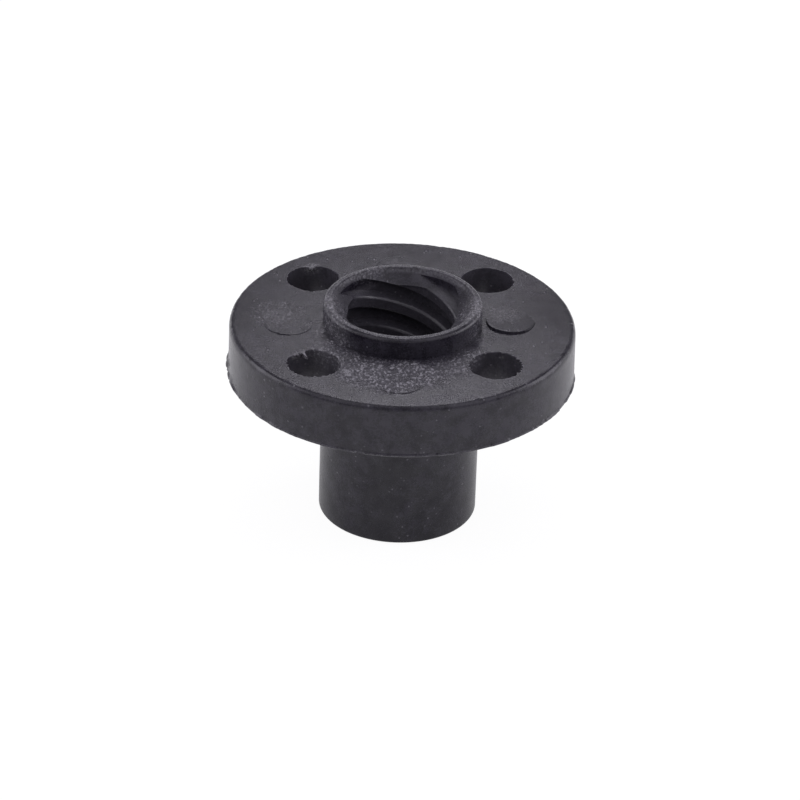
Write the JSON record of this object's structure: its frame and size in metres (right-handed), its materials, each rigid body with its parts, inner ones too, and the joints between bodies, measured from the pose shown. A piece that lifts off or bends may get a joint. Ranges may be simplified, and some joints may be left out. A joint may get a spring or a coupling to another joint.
{
  "type": "lead screw nut",
  "caption": "Moulded plastic nut for a multi-start trapezoidal lead screw, with a round flange drilled for screws, a long barrel below it and a short collar above it.",
  "frame": {"origin": "on the axis of the bore, in the plane of the barrel's free end, on which the nut stands", "axes": "+Z along the bore, from the barrel's free end to the collar; the screw holes lie midway between the X and Y axes; -X points at the gate mark"},
  "size_m": [0.0224, 0.0224, 0.015],
  "materials": {
    "nut": "matt charcoal moulded plastic with a fine, slightly sparkling grain"
  },
  "bodies": {
    "root": {"nut": "nut"}
  },
  "joints": []
}
